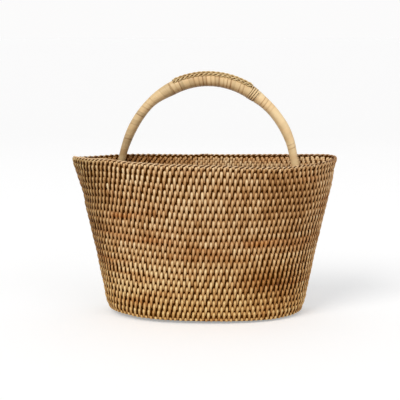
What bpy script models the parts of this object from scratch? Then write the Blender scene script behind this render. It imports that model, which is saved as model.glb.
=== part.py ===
"""Wall basket: a D-shaped basket of stacked rattan coils with a flat back and an arch handle.

Metres, +Z up, +X to the right seen from the front. +Y is the side that hangs against a wall.
The origin is on the floor, under the middle of the basket's outer box.
"""

import math

import bmesh
import bpy
from mathutils import Matrix, Vector

# Outline of the body, over the outside of the coils
RIM_WIDTH = 0.320
RIM_DEPTH = 0.1165
BASE_WIDTH = 0.243
BASE_DEPTH = 0.0925
BACK_CORNER_RADIUS = 0.017
RIM_ROUNDNESS = 1.9
BASE_ROUNDNESS = 2.3
FLARE_EXPONENT = 1.15

# Rounding of the body's lower edge
FOOT_HEIGHT = 0.016
FOOT_INSET = 0.004

# The coils of the wall and the base
COURSE_COUNT = 21
COIL_HEIGHT = 0.0080
COIL_THICKNESS = 0.0078
COIL_FACE_HEIGHT = 0.0042
FIT_GAP = 0.0003
LEAST_CENTRE_DEPTH = 0.020
LEAST_BEND = 0.0050

# The rim
RIM_ROD_HEIGHT = 0.0046
RIM_ROD_THICKNESS = 0.0058
RIM_BINDING_SKIN = 0.0010
RIM_BINDING_SKIRT = 0.0036

# The arch of the handle, on the centre line of its pole. Its span is a share of the rim's width
HANDLE_SHIFT = 0.0035
HANDLE_SPAN_SHARE = 0.68
ARCH_RISE = 0.1307
ARCH_SPRING_BELOW_RIM = 0.0384
LEG_LENGTH = 0.054
POLE_RADIUS_AT_GRIP = 0.0062
POLE_RADIUS_AT_SHOULDER = 0.0055
POLE_RADIUS_AT_LEG = 0.0041
LEG_TAPER_START = 0.085
LEG_TAPER_LENGTH = 0.048

# The wrapping of the handle
GRIP_LENGTH = 0.110
GRIP_SHIFT = 0.009
GRIP_TAPER_LENGTH = 0.030
STRIP_WIDTH = 0.0037
STRIP_THICKNESS = 0.0012
STRIP_PITCH = 0.0048
BARE_POLE_ABOVE_TIES = 0.022
WRAP_JOINT_SHARE = 0.05

# The row of knots on the grip, and the binding at its right end
KNOT_PITCH = 0.0046
KNOT_RADIUS = 0.0011
KNOT_NECK_RADIUS = 0.0007
END_BINDING_TURNS = 4
END_BINDING_WIDTH = 0.0020
END_BINDING_THICKNESS = 0.0010
END_BINDING_PITCH = 0.0030

# The ties of the handle's legs, each level with a course of the wall
TIE_WIDTH = 0.0040
TIE_THICKNESS = 0.0012
TIE_COURSES_BELOW_RIM = (5, 7, 9)
TIE_STEPS = 6

# Numbers of points
ARC_STEPS = 9
CORNER_STEPS = 3
TURN_STEPS = 8
ARCH_STEPS = 36
LEG_STEPS = 6
BEND_STEP = math.radians(32)

# Sizes that follow from the ones above
course_pitch = COIL_HEIGHT + FIT_GAP
ring_pitch = COIL_THICKNESS + FIT_GAP
wall_top = (COURSE_COUNT + 1) * course_pitch
rim_rod_base = wall_top
rim_height = rim_rod_base + RIM_ROD_HEIGHT + FIT_GAP + RIM_BINDING_SKIN
rim_binding_thickness = RIM_ROD_THICKNESS + 2 * (FIT_GAP + RIM_BINDING_SKIN)
back_y = RIM_DEPTH / 2
arch_spring_z = rim_height - ARCH_SPRING_BELOW_RIM
handle_half_span = RIM_WIDTH * HANDLE_SPAN_SHARE / 2
left_leg_x = HANDLE_SHIFT - handle_half_span
right_leg_x = HANDLE_SHIFT + handle_half_span
inscribed = math.cos(math.pi / TURN_STEPS)
grip_wrap_radius = (POLE_RADIUS_AT_GRIP + FIT_GAP) / inscribed + STRIP_THICKNESS
leg_wrap_radius = (POLE_RADIUS_AT_LEG + FIT_GAP) / inscribed + STRIP_THICKNESS
handle_y = back_y - max(COIL_THICKNESS, rim_binding_thickness) - FIT_GAP - leg_wrap_radius


def clear_scene():
    for old in list(bpy.data.objects):
        bpy.data.objects.remove(old, do_unlink=True)


def new_collection(name):
    collection = bpy.data.collections.new(name)
    bpy.context.scene.collection.children.link(collection)
    return collection


def new_material(name, colour, roughness):
    material = bpy.data.materials.new(name)
    material.use_nodes = True
    shader = material.node_tree.nodes["Principled BSDF"]
    shader.inputs["Base Color"].default_value = (*colour, 1.0)
    shader.inputs["Roughness"].default_value = roughness
    shader.inputs["Metallic"].default_value = 0.0
    material.diffuse_color = (*colour, 1.0)
    return material


def body_outline(z):
    """The outer outline of the coil whose middle is at height z, anticlockwise from the left end."""
    rise = z / wall_top
    flare = max(rise, 0) ** FLARE_EXPONENT
    below = max(1 - z / FOOT_HEIGHT, 0)
    inset = FOOT_INSET * below**2
    half_width = (BASE_WIDTH + (RIM_WIDTH - BASE_WIDTH) * flare) / 2 - inset
    depth = BASE_DEPTH + (RIM_DEPTH - BASE_DEPTH) * flare - inset
    exponent = 2 / (BASE_ROUNDNESS + (RIM_ROUNDNESS - BASE_ROUNDNESS) * rise)
    widest_y = back_y - BACK_CORNER_RADIUS
    front_depth = depth - BACK_CORNER_RADIUS
    points = []
    for step in range(2 * ARC_STEPS + 1):
        angle = math.pi * step / (2 * ARC_STEPS)
        across = math.cos(angle)
        x = -math.copysign(abs(across) ** exponent, across) * half_width
        points.append((x, widest_y - front_depth * math.sin(angle) ** exponent))
    corner = []
    for step in range(1, CORNER_STEPS + 1):
        angle = math.pi / 2 * step / CORNER_STEPS
        x = half_width - BACK_CORNER_RADIUS * (1 - math.cos(angle))
        corner.append((x, widest_y + BACK_CORNER_RADIUS * math.sin(angle)))
    return points + corner + [(-x, y) for x, y in reversed(corner)]


def cut_by_line(points, normal, limit):
    """The part of a convex outline whose points lie no further than limit along normal."""
    kept = []
    for here, after in zip(points, points[1:] + points[:1]):
        near = here.dot(normal) - limit
        far = after.dot(normal) - limit
        if near <= 0:
            kept.append(here)
        if near * far < 0:
            kept.append(here.lerp(after, near / (near - far)))
    return kept


def inset_outline(outline, distance):
    """The outline with each of its sides moved inwards by the same distance."""
    corners = [Vector(point) for point in outline]
    inner = list(corners)
    for here, after in zip(corners, corners[1:] + corners[:1]):
        along = (after - here).normalized()
        outwards = Vector((along.y, -along.x))
        inner = cut_by_line(inner, outwards, here.dot(outwards) - distance)
    return spread_points(inner)


def eased_outline(outline, distance, bend):
    """The inset outline with no bend tighter than the given radius, as a coil would take it."""
    core = inset_outline(outline, distance + bend)
    points = []
    for before, here, after in zip(core[-1:] + core[:-1], core, core[1:] + core[:1]):
        along = here - before
        outwards = Vector((along.y, -along.x)).normalized()
        turn = along.angle(after - here)
        count = math.ceil(turn / BEND_STEP)
        reach = bend / math.cos(turn / count / 2)
        for step in range(count):
            direction = outwards.copy()
            direction.rotate(Matrix.Rotation(turn * (step + 0.5) / count, 2))
            points.append(here + direction * reach)
    return points


def spread_points(points):
    """Drops each point that lies within a coil's gap of the one before it."""
    kept = []
    for here, before in zip(points, points[-1:] + points[:-1]):
        if (here - before).length > FIT_GAP:
            kept.append(here)
    return kept


def section_guide(name, points, guides):
    """A closed flat outline that a ring is swept with. It is a guide, and is not part of the basket."""
    curve = bpy.data.curves.new(name, "CURVE")
    curve.dimensions = "2D"
    curve.fill_mode = "NONE"
    spline = curve.splines.new("POLY")
    spline.points.add(len(points) - 1)
    for target, (x, y) in zip(spline.points, points):
        target.co = (x, y, 0, 1)
    spline.use_cyclic_u = True
    guide = bpy.data.objects.new(name, curve)
    guide.hide_render = True
    guide.display_type = "WIRE"
    guides.objects.link(guide)
    return guide


def coil_section(height, thickness, face_height):
    """Six corners: flat faces on both sides, with a blunt ridge above and below."""
    return [
        (0, -height / 2),
        (-thickness / 2, -face_height / 2),
        (-thickness / 2, face_height / 2),
        (0, height / 2),
        (thickness / 2, face_height / 2),
        (thickness / 2, -face_height / 2),
    ]


def binding_section():
    """An upside-down U that fits over the rim rod, with its middle at the rod's top."""
    outer = rim_binding_thickness / 2
    inner = outer - RIM_BINDING_SKIN
    top = FIT_GAP + RIM_BINDING_SKIN
    shoulder = outer - RIM_BINDING_SKIN
    return [
        (inner, -RIM_BINDING_SKIRT),
        (inner, FIT_GAP),
        (-inner, FIT_GAP),
        (-inner, -RIM_BINDING_SKIRT),
        (-outer, -RIM_BINDING_SKIRT),
        (-outer, 0),
        (-shoulder, top),
        (shoulder, top),
        (outer, 0),
        (outer, -RIM_BINDING_SKIRT),
    ]


def ring(name, points, z, section, material, basket):
    """One closed ring of coil, swept with the section along the points at height z."""
    curve = bpy.data.curves.new(name, "CURVE")
    curve.dimensions = "3D"
    curve.twist_mode = "Z_UP"
    curve.bevel_mode = "OBJECT"
    curve.bevel_object = section
    spline = curve.splines.new("POLY")
    spline.points.add(len(points) - 1)
    for target, point in zip(spline.points, points):
        target.co = (point.x, point.y, 0, 1)
    spline.use_cyclic_u = True
    curve.materials.append(material)
    piece = bpy.data.objects.new(name, curve)
    piece.location = (0, 0, z)
    basket.objects.link(piece)
    return piece


def build_wall(section, material, basket):
    for course in range(1, COURSE_COUNT + 1):
        z = (course + 0.5) * course_pitch - FIT_GAP / 2
        points = inset_outline(body_outline(z), COIL_THICKNESS / 2)
        ring(f"wall_course_{course:02d}", points, z, section, material, basket)


def build_base(section, material, basket):
    """Rings one inside the other, and the flat middle piece that the first ring is wound round."""
    z = COIL_HEIGHT / 2
    outline = body_outline(z)
    depth = back_y - min(y for _, y in outline)
    rings = int((depth - LEAST_CENTRE_DEPTH) / (2 * ring_pitch))
    for number in range(rings):
        points = eased_outline(outline, COIL_THICKNESS / 2 + number * ring_pitch, LEAST_BEND)
        name = f"base_coil_{number + 1}" if number else "base_edge_coil"
        ring(name, points, z, section, material, basket)
    curve = bpy.data.curves.new("base_centre", "CURVE")
    curve.dimensions = "2D"
    curve.fill_mode = "BOTH"
    curve.extrude = COIL_HEIGHT / 2
    points = eased_outline(outline, rings * ring_pitch, LEAST_BEND - COIL_THICKNESS / 2 - FIT_GAP)
    spline = curve.splines.new("POLY")
    spline.points.add(len(points) - 1)
    for target, point in zip(spline.points, points):
        target.co = (point.x, point.y, 0, 1)
    spline.use_cyclic_u = True
    curve.materials.append(material)
    piece = bpy.data.objects.new("base_centre", curve)
    piece.location = (0, 0, z)
    basket.objects.link(piece)


def build_rim(rod_section, cover_section, rod_material, cover_material, basket):
    outline = body_outline(wall_top)
    points = inset_outline(outline, rim_binding_thickness / 2)
    rod_z = rim_rod_base + RIM_ROD_HEIGHT / 2
    ring("rim_rod", points, rod_z, rod_section, rod_material, basket)
    cover_z = rim_rod_base + RIM_ROD_HEIGHT
    ring("rim_binding", points, cover_z, cover_section, cover_material, basket)


def arch_line():
    """The centre line of the handle's pole, from the left foot over the arch to the right foot."""
    line = []
    for step in range(LEG_STEPS):
        drop = LEG_LENGTH * (1 - step / LEG_STEPS)
        line.append(Vector((left_leg_x, handle_y, arch_spring_z - drop)))
    for step in range(ARCH_STEPS + 1):
        angle = math.pi * step / ARCH_STEPS
        x = HANDLE_SHIFT - math.cos(angle) * handle_half_span
        line.append(Vector((x, handle_y, arch_spring_z + ARCH_RISE * math.sin(angle))))
    for step in range(1, LEG_STEPS + 1):
        drop = LEG_LENGTH * step / LEG_STEPS
        line.append(Vector((right_leg_x, handle_y, arch_spring_z - drop)))
    return line


def lengths_along(line):
    total = 0
    lengths = [total]
    for before, here in zip(line, line[1:]):
        total += (here - before).length
        lengths.append(total)
    return lengths


arch = arch_line()
arch_lengths = lengths_along(arch)
grip_middle = arch_lengths[-1] / 2 + GRIP_SHIFT
grip_start = grip_middle - GRIP_LENGTH / 2
grip_end = grip_middle + GRIP_LENGTH / 2


def on_arch(length):
    """The point at this length along the handle's line, and the line's direction there."""
    index = 0
    while index < len(arch) - 2 and arch_lengths[index + 1] < length:
        index += 1
    span = arch_lengths[index + 1] - arch_lengths[index]
    part = (length - arch_lengths[index]) / span
    here = arch[index].lerp(arch[index + 1], part)
    before = arch[max(index - 1, 0)]
    after = arch[min(index + 2, len(arch) - 1)]
    along = (arch[index + 1] - before).lerp(after - arch[index], part)
    return here, along.normalized()


def eased_share(distance, reach):
    """0 at no distance and 1 from the reach on, with a smooth change between."""
    part = min(max(distance / reach, 0), 1)
    return part * part * (3 - 2 * part)


def pole_radius(length):
    """Thickest over the grip, a little less beside it, and thinner towards both feet."""
    from_foot = min(length, arch_lengths[-1] - length)
    from_grip = max(grip_start - length, length - grip_end)
    leg = eased_share(from_foot - LEG_TAPER_START, LEG_TAPER_LENGTH)
    grip = 1 - eased_share(from_grip, GRIP_TAPER_LENGTH)
    radius = POLE_RADIUS_AT_LEG + (POLE_RADIUS_AT_SHOULDER - POLE_RADIUS_AT_LEG) * leg
    return radius + (POLE_RADIUS_AT_GRIP - POLE_RADIUS_AT_SHOULDER) * grip


def round_arch(length, angle, radius):
    """A point at the radius round the handle's line. Angle 0 is the outer side of the arch."""
    here, along = on_arch(length)
    outwards = Vector((-along.z, 0, along.x))
    sideways = along.cross(outwards)
    out = outwards * math.cos(angle) + sideways * math.sin(angle)
    return here + out * radius, out


def band(name, centres, outs, width, thickness, material, basket):
    """A flat strip that lies across its outward directions, with its two ends closed."""
    builder = bmesh.new()
    rows = []
    last = len(centres) - 1
    for index, (centre, out) in enumerate(zip(centres, outs)):
        forward = centres[min(index + 1, last)] - centres[max(index - 1, 0)]
        side = forward.cross(out).normalized() * (width / 2)
        lift = out * (thickness / 2)
        corners = (side + lift, side - lift, -side - lift, -side + lift)
        rows.append([builder.verts.new(centre + corner) for corner in corners])
    for row, following in zip(rows, rows[1:]):
        for corner in range(4):
            other = (corner + 1) % 4
            quad = (row[corner], row[other], following[other], following[corner])
            builder.faces.new(quad)
    builder.faces.new(rows[0][::-1])
    builder.faces.new(rows[-1])
    bmesh.ops.recalc_face_normals(builder, faces=builder.faces[:])
    mesh = bpy.data.meshes.new(name)
    builder.to_mesh(mesh)
    builder.free()
    mesh.materials.append(material)
    piece = bpy.data.objects.new(name, mesh)
    basket.objects.link(piece)
    return piece


def least_gap(centres, width):
    """The least clear space between one turn of a winding and the next, on its points."""
    turns = zip(centres, centres[TURN_STEPS:])
    return min((after - before).length for before, after in turns) - width


def winding(name, start, turns, pitch, width, thickness, radius_at, material, basket):
    """A strip wound round the handle from the length start, with its middle at radius_at(length)."""
    centres = []
    outs = []
    first_angle = 2 * math.pi * (start - grip_start) / pitch
    for step in range(turns * TURN_STEPS + 1):
        length = start + pitch * step / TURN_STEPS
        angle = first_angle + 2 * math.pi * step / TURN_STEPS
        centre, out = round_arch(length, angle, radius_at(length))
        centres.append(centre)
        outs.append(out)
    print(f"{name}: least gap {least_gap(centres, width) * 1000:.2f} mm")
    band(name, centres, outs, width, thickness, material, basket)


def strip_radius(length):
    return (pole_radius(length) + FIT_GAP) / inscribed + STRIP_THICKNESS / 2


def end_binding_radius(length):
    top_of_strip = strip_radius(length) + STRIP_THICKNESS / 2
    return (top_of_strip + FIT_GAP) / inscribed + END_BINDING_THICKNESS / 2


def build_handle_pole(material, basket):
    curve = bpy.data.curves.new("handle_pole", "CURVE")
    curve.dimensions = "3D"
    curve.bevel_depth = POLE_RADIUS_AT_GRIP
    curve.bevel_resolution = 2
    curve.use_fill_caps = True
    spline = curve.splines.new("POLY")
    spline.points.add(len(arch) - 1)
    for target, point, length in zip(spline.points, arch, arch_lengths):
        target.co = (*point, 1)
        target.radius = pole_radius(length) / POLE_RADIUS_AT_GRIP
    curve.materials.append(material)
    basket.objects.link(bpy.data.objects.new("handle_pole", curve))


def build_wrapping(material, basket):
    """Three lengths of strip. Each is joined end to end with the one before, under the handle."""
    foot_z = arch_spring_z - LEG_LENGTH
    bare_leg = tie_height(TIE_COURSES_BELOW_RIM[0]) + TIE_WIDTH / 2 + BARE_POLE_ABOVE_TIES - foot_z
    joint = WRAP_JOINT_SHARE * STRIP_PITCH
    grip_turns = int(GRIP_LENGTH / STRIP_PITCH)
    left_end = grip_start - joint
    left_turns = int((left_end - bare_leg) / STRIP_PITCH)
    right_start = grip_start + grip_turns * STRIP_PITCH + joint
    right_turns = int((arch_lengths[-1] - bare_leg - right_start) / STRIP_PITCH)
    starts = {
        "left_leg_wrap": (left_end - left_turns * STRIP_PITCH, left_turns),
        "grip_wrap": (grip_start, grip_turns),
        "right_leg_wrap": (right_start, right_turns),
    }
    for name, (start, turns) in starts.items():
        winding(
            name, start, turns, STRIP_PITCH, STRIP_WIDTH, STRIP_THICKNESS, strip_radius, material, basket
        )


def build_grip_lacing(material, basket):
    """A row of knots along the outer side of the grip, and the bolder turns that end it."""
    binding_start = grip_end - END_BINDING_TURNS * END_BINDING_PITCH
    knots = int((binding_start - END_BINDING_WIDTH - grip_start) / KNOT_PITCH)
    curve = bpy.data.curves.new("grip_lacing", "CURVE")
    curve.dimensions = "3D"
    curve.bevel_depth = KNOT_RADIUS
    curve.bevel_resolution = 1
    curve.use_fill_caps = True
    spline = curve.splines.new("POLY")
    spline.points.add(2 * knots - 1)
    for number, target in enumerate(spline.points):
        length = grip_start + KNOT_PITCH * (number + 0.5) / 2
        radius = KNOT_RADIUS if number % 2 else KNOT_NECK_RADIUS
        lift = strip_radius(length) + STRIP_THICKNESS / 2 + FIT_GAP + KNOT_RADIUS
        place, _ = round_arch(length, 0, lift)
        target.co = (*place, 1)
        target.radius = radius / KNOT_RADIUS
    curve.materials.append(material)
    basket.objects.link(bpy.data.objects.new("grip_lacing", curve))
    winding(
        "grip_end_binding",
        binding_start,
        END_BINDING_TURNS,
        END_BINDING_PITCH,
        END_BINDING_WIDTH,
        END_BINDING_THICKNESS,
        end_binding_radius,
        material,
        basket,
    )


def tie_height(courses_below_rim):
    """The middle height of the course that a tie is level with."""
    return (COURSE_COUNT + 1.5 - courses_below_rim) * course_pitch - FIT_GAP / 2


def build_ties(material, basket):
    """Straps that pass in front of each leg, with both ends set against the back wall."""
    radius = (POLE_RADIUS_AT_LEG + FIT_GAP) / math.cos(math.pi / (2 * TIE_STEPS)) + TIE_THICKNESS / 2
    wall_y = back_y - COIL_THICKNESS - FIT_GAP
    for leg_x, side_name in ((left_leg_x, "left"), (right_leg_x, "right")):
        for number, below in enumerate(TIE_COURSES_BELOW_RIM, 1):
            z = tie_height(below)
            centres = [Vector((leg_x - radius, wall_y, z))]
            outs = [Vector((-1, 0, 0))]
            for step in range(TIE_STEPS + 1):
                angle = math.pi * step / TIE_STEPS
                out = Vector((-math.cos(angle), -math.sin(angle), 0))
                centres.append(Vector((leg_x, handle_y, z)) + out * radius)
                outs.append(out)
            centres.append(Vector((leg_x + radius, wall_y, z)))
            outs.append(Vector((1, 0, 0)))
            name = f"{side_name}_leg_tie_{number}"
            band(name, centres, outs, TIE_WIDTH, TIE_THICKNESS, material, basket)


def main():
    clear_scene()
    basket = new_collection("wall_basket")
    guides = new_collection("section_guides")
    coil = new_material("stitched_rattan", (0.46, 0.27, 0.13), 0.55)
    rim = new_material("rim_cane", (0.56, 0.36, 0.19), 0.5)
    pole = new_material("rattan_pole", (0.52, 0.36, 0.18), 0.5)
    wrap = new_material("peeled_cane", (0.68, 0.48, 0.25), 0.45)
    lacing = new_material("lacing_cane", (0.56, 0.38, 0.18), 0.5)
    course_section = coil_section(COIL_HEIGHT, COIL_THICKNESS, COIL_FACE_HEIGHT)
    wall_guide = section_guide("wall_section", course_section, guides)
    base_section = [(y, -x) for x, y in coil_section(COIL_THICKNESS, COIL_HEIGHT, COIL_FACE_HEIGHT)]
    base_guide = section_guide("base_section", base_section, guides)
    rod_face = RIM_ROD_HEIGHT * COIL_FACE_HEIGHT / COIL_HEIGHT
    rod_section = coil_section(RIM_ROD_HEIGHT, RIM_ROD_THICKNESS, rod_face)
    rod_guide = section_guide("rim_rod_section", rod_section, guides)
    cover_guide = section_guide("rim_binding_section", binding_section(), guides)
    build_base(base_guide, coil, basket)
    build_wall(wall_guide, coil, basket)
    build_rim(rod_guide, cover_guide, coil, rim, basket)
    build_handle_pole(pole, basket)
    build_wrapping(wrap, basket)
    build_grip_lacing(lacing, basket)
    build_ties(lacing, basket)


main()
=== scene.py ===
"""Looks of the wall basket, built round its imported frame.

Metres, +Z up, +X to the right seen from the front, +Y towards the wall. Fractions of a ring run
from the middle of the front to the right, once round. Places along the chain of coils run from
0, the middle piece of the base, out to the edge coil and up the wall to the rim.
"""

import math
from types import SimpleNamespace

import bpy
import numpy as np
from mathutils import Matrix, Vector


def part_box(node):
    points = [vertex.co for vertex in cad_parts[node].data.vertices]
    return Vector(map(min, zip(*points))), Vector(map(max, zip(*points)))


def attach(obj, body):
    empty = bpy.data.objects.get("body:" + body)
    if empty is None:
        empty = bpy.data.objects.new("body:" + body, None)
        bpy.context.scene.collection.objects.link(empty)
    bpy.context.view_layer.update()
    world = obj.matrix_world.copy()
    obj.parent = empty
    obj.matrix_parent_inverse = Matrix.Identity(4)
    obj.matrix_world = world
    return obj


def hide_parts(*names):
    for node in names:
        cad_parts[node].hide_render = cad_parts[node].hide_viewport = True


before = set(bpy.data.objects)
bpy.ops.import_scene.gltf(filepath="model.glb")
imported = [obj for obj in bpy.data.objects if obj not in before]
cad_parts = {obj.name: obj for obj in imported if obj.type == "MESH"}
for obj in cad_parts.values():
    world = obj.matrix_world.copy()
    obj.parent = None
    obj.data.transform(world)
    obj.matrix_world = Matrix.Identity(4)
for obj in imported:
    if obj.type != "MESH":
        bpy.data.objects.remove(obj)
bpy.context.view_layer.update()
rng = np.random.default_rng(11)

MM = 0.001
FULL_TURN = 2 * math.pi

# The coils that the basket is wound from, from the middle of the base to the top of the wall.
# The flat middle piece of the base is dressed as two rounds of coil, and so is its edge coil
BASE_NODES = ["base_centre", "base_centre", "base_coil_4", "base_coil_3", "base_coil_2", "base_edge_coil"]
WALL_NODES = [f"wall_course_{number:02d}" for number in range(1, 22)]
CHAIN_NODES = [*BASE_NODES, "base_edge_coil", *WALL_NODES, "rim_rod", "rim_binding"]
EDGE = len(BASE_NODES) - 1
RIM_COIL = len(CHAIN_NODES) - 2
COIL_THICKNESS = 7.8 * MM
COIL_HEIGHT = 8.0 * MM

# How far the innermost round lies inside the next, at its long sides and at its ends
CENTRE_SIDE_STEP = 8.1 * MM
CENTRE_END_STEP = 13 * MM

# The outline of a ring
BACK_CORNER_RADIUS = 17 * MM
LEAST_CORNER_RADIUS = 2 * MM
CORNER_LIMIT_SHARE = 0.45
BASE_ROUNDNESS = 2.3
RIM_ROUNDNESS = 1.9
WALL_TOP = 182.6 * MM
FRONT_SAMPLES = 500
CORNER_SAMPLES = 60
RING_SAMPLES = 1440

# Heights of the rows: the low ones are raised, the lowest the most, and those at the waist dropped
EDGE_UPPER_Z = 9.4 * MM
FOOT_RAISE = 3.9 * MM
FOOT_RAISE_REACH = 33 * MM
WAIST_DROP = 0.8 * MM
WAIST_Z = 100 * MM
WAIST_REACH = 30 * MM
RIM_COIL_Z = 184.4 * MM
RIM_COIL_THICKNESS = 6.8 * MM
RIM_STUB_Z = 185.7 * MM
RIM_STUB_THICKNESS = 4.4 * MM
RIM_TOP = 188.5 * MM

# Small waves of the wall: size, waves in a full turn, change of phase for each metre up, and phase
LIFT_WAVES = ((0.35 * MM, 7, 31, 0.6), (0.3 * MM, 17, -47, 2.1))
OUT_WAVES_HIGH = ((0.3 * MM, 9, 83, 0),)
OUT_WAVES = ((0.2 * MM, 23, -140, 0),)

# How far the rows lie above or below their level, as humps along x: height, middle and reach.
# Those of the crest grow towards the rim, and those between fade out at the foot and the rim
CREST_HUMPS = (
    (2.7 * MM, -116 * MM, 38 * MM),
    (1.1 * MM, -60 * MM, 35 * MM),
    (-4.3 * MM, 100 * MM, 52 * MM),
)
BACK_CREST_HUMPS = ((-2.8 * MM, -148 * MM, 32 * MM),)
BETWEEN_HUMPS = ((5.3 * MM, -100 * MM, 60 * MM), (1.4 * MM, 85 * MM, 30 * MM))
FOOT_HUMPS = (
    (1.9 * MM, -108 * MM, 25 * MM),
    (-0.6 * MM, 0, 50 * MM),
    (-1.6 * MM, 80 * MM, 42 * MM),
)
FRONT_REACH = 30 * MM
BETWEEN_START = 4 * MM
BETWEEN_START_REACH = 26 * MM
BETWEEN_END = 183 * MM
BETWEEN_END_REACH = 38 * MM
FOOT_HEIGHT = 40 * MM
RISE_LIMIT = 1.05

# How the ends of the wall bend in and out: humps up the wall, whose places are shares of its height
END_DISTANCE = 120 * MM
LEFT_FLARE = 0.9 * MM
LEFT_FLARE_START = 0.84
LEFT_FLARE_REACH = 0.14
LEFT_TUCK = (1.1 * MM, 0.76, 0.06)
RIGHT_TUCK = (2.0 * MM, 0.965, 0.06)

# The core of a coil, coloured near black as painted shade in the hollows between the stitches
CORE_SAMPLES = 288
CORE_SIDES = 10
CORE_HALF_DEPTH = 2.4 * MM
CORE_HEIGHT_SHARE = 0.62
CORE_TONE = 0.5

# The rope of two plies along the top. Waves have a size and a count round the rim
ROPE_PLIES = 2
ROPE_PLY_RADIUS = 0.8 * MM
ROPE_HELIX_RADIUS = 1.2 * MM
ROPE_INSET = 0.2 * MM
ROPE_SAMPLES = 12
ROPE_SIDES = 8
ROPE_ANGLE_WAVE = (0.12, 19)
ROPE_SWELL_WAVE = (0.06, 61)
ROPE_TONE = 0.62
ROPE_TONE_WAVE = (0.14, 23)
# Painted shade along the rope's right end: how much darker, where it starts and over what reach
ROPE_SHADE_RIGHT = 0.4
ROPE_SHADE_START = 100 * MM
ROPE_SHADE_REACH = 40 * MM

# Stitches along a row. The pitch grows towards the rim and in the low rows, at shares of the chain
STITCH_PITCH = 5.95 * MM
STITCH_PITCH_GAIN_TOP = 0.6 * MM
STITCH_GAIN_TOP_START = 0.62
STITCH_PITCH_GAIN_LOW = 0.35 * MM
STITCH_GAIN_LOW_MIDDLE = 0.2
STITCH_GAIN_LOW_REACH = 0.15
WEAVE_CENTRE = 12 * MM
STITCH_CROWN = 0.8 * MM
STITCH_BACK = 0.35 * MM
STITCH_SINK = 0.5 * MM
BASE_LEAN_LIMIT = math.radians(4)
# Painted highlight on the upper part of each stitch: its middle and reach as shares of the stitch
TOP_HIGHLIGHT_MIDDLE = 0.2
TOP_HIGHLIGHT_REACH = 0.13
SIDE_DISTANCE = 90 * MM
LEAST_CLIMB = 1 * MM
DRIFT_LIMIT = 0.9
NEARBY = 0.001

# How unlike each other the stitches are. Place and bend are shares of the pitch
PLACE_SPREAD = 0.03
LEAN_SPREAD = math.radians(1.5)
BEND_SPREAD = 0.04
DEPTH_SPREAD = 0.08 * MM
WIDTH_SPREAD = 0.04
TONE_SPREAD = 0.11

# The two kinds of stitch. The lists run from the top end of a stitch to its lower end: the share of
# the span, how deep it lies there, its width as a share of the whole, and how much shade is painted on it
OUTER_STITCH = SimpleNamespace(
    span=2.0,
    half_width=1.6 * MM,
    lean=math.radians(4),
    more_lean_left=math.radians(2.5),
    lean_limit=math.radians(16),
    tone=0.57,
    light_gain_right=0.0,
    # painted highlight on the upper part of each stitch
    top_highlight=0.25,
    steps=np.array([0.05, 0.085, 0.115, 0.16, 0.24, 0.34, 0.44, 0.54, 0.65, 0.75, 0.83, 0.885, 0.93]),
    depths=np.array([3.4, 1.5, 0.45, 0.05, 0.0, 0.12, 0.3, 0.52, 0.75, 1.0, 1.3, 1.9, 3.3]) * MM,
    widths=np.array([0.75, 0.93, 1.05, 1.1, 1.1, 1.07, 1.03, 1.0, 0.97, 0.93, 0.88, 0.8, 0.7]),
    shades=np.array([1.0, 0.8, 0.25, 0.0, 0.0, 0.04, 0.14, 0.28, 0.43, 0.58, 0.74, 0.9, 1.0]),
)
INNER_STITCH = SimpleNamespace(
    span=1.05,
    half_width=1.65 * MM,
    lean=math.radians(-9),
    more_lean_left=0.0,
    lean_limit=math.radians(18),
    tone=0.63,
    # painted shade towards the left of the inside and painted light towards its right
    light_gain_right=0.38,
    top_highlight=0.0,
    steps=np.array([0.05, 0.1, 0.17, 0.33, 0.5, 0.67, 0.8, 0.88, 0.94]),
    depths=np.array([2.4, 0.9, 0.15, 0.0, 0.1, 0.25, 0.5, 1.1, 2.4]) * MM,
    widths=np.array([0.7, 0.85, 1.0, 1.0, 1.0, 0.95, 0.85, 0.75, 0.65]),
    shades=np.array([1.0, 0.7, 0.1, 0.0, 0.0, 0.1, 0.3, 0.7, 1.0]),
)

# Across a strip of cane: places in half widths, and rises in crowns. Two more places lie underneath
STRIP_PLACES = np.array([-1, -0.62, 0, 0.62, 1, 0.7, -0.7])
STRIP_RISES = np.array([0, 0.785, 1, 0.785, 0])
STRIP_GRAIN_SHIFT = 0.37

# A tube whose direction is somewhere nearer to upright than this takes its sides from the Y axis
UPRIGHT_LIMIT = 0.95

# Redder stretches of cane on the wall: the middle and the reach along x and z, and how strong
RUST_SPOTS = (
    ((35 * MM, 75 * MM), (32 * MM, 7 * MM), 0.7),
    ((68 * MM, 50 * MM), (28 * MM, 13 * MM), 0.75),
    ((-72 * MM, 139 * MM), (34 * MM, 3 * MM), 0.6),
    ((40 * MM, 152 * MM), (16 * MM, 5 * MM), 0.35),
    ((96 * MM, 28 * MM), (16 * MM, 12 * MM), 0.5),
)

# Paler and darker stretches of the wall, in the same form: partly painted shade, darker towards both ends,
# and partly the cane's own tone
TONE_AND_SHADE_SPOTS = (
    ((-145 * MM, 110 * MM), (34 * MM, 90 * MM), -0.6),
    ((90 * MM, 165 * MM), (34 * MM, 28 * MM), -0.42),
    ((125 * MM, 110 * MM), (40 * MM, 60 * MM), -0.22),
    ((78 * MM, 45 * MM), (30 * MM, 24 * MM), -0.28),
    ((0, 45 * MM), (45 * MM, 28 * MM), 0.2),
    ((-75 * MM, 45 * MM), (35 * MM, 28 * MM), 0.28),
    ((-75 * MM, 105 * MM), (30 * MM, 22 * MM), -0.04),
)

# The handle's line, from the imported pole
ARCH_SPRING_BELOW_RIM = 38.4 * MM
GRIP_LENGTH = 110 * MM
GRIP_SHIFT = 9 * MM
GRIP_TAPER_LENGTH = 30 * MM
GRIP_SAG = 1.3 * MM
LEG_SAMPLES = 120
ARCH_SAMPLES = 900
ARCH_STEP = 1 * MM

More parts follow.
